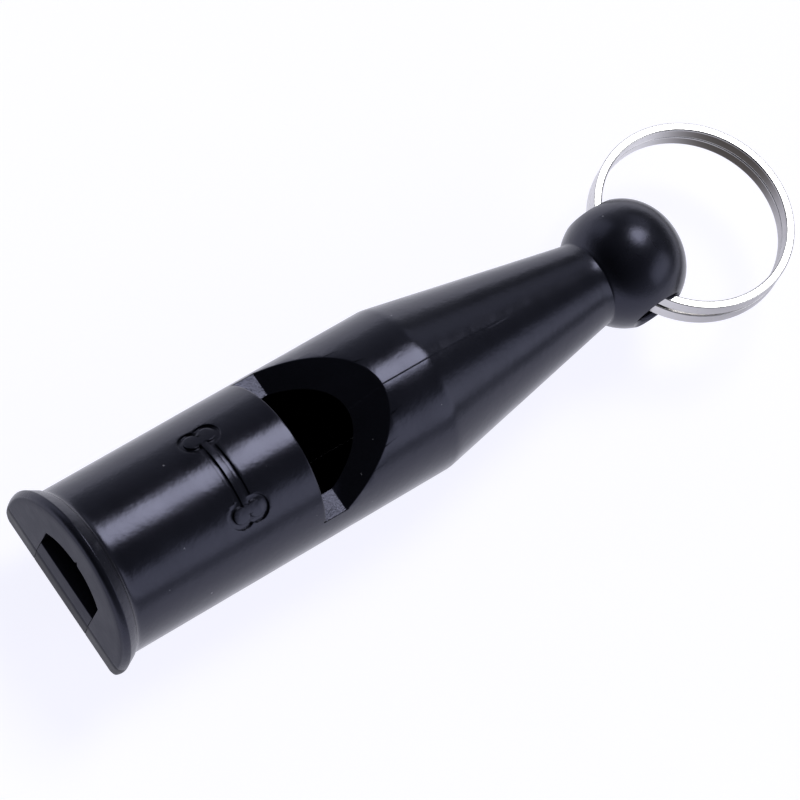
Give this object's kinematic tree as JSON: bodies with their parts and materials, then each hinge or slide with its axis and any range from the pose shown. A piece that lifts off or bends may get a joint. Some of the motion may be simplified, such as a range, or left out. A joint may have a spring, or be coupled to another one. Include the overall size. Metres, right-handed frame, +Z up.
{
  "type": "training whistle",
  "caption": "Pealess dog training whistle: round black plastic body with lipped mouth, top window, tapered rear, ball end and a split ring through it.",
  "frame": {"origin": "centre of the bounding box's bottom, on the surface that the whistle lies on", "axes": "+X along the whistle from the mouth to the ball and ring, +Z up through the window, +Y across, to the left of the person blowing"},
  "size_m": [0.0954, 0.0229, 0.0201],
  "materials": {
    "body_left": "satin black injection-moulded ABS",
    "body_right": "satin black injection-moulded ABS",
    "windway_plug": "black injection-moulded ABS",
    "split_ring": "nickel-plated spring steel"
  },
  "bodies": {
    "whistle": {"body_left": "body_left", "body_right": "body_right", "windway_plug": "windway_plug"},
    "ring": {"split_ring": "split_ring"}
  },
  "joints": [
    {"name": "ring_swing", "type": "hinge", "parent": "whistle", "child": "ring", "pos_m": [0.02652, -0.00038, 0.00949], "axis": [0, 1, 0], "range_deg": [-152, 146]}
  ]
}
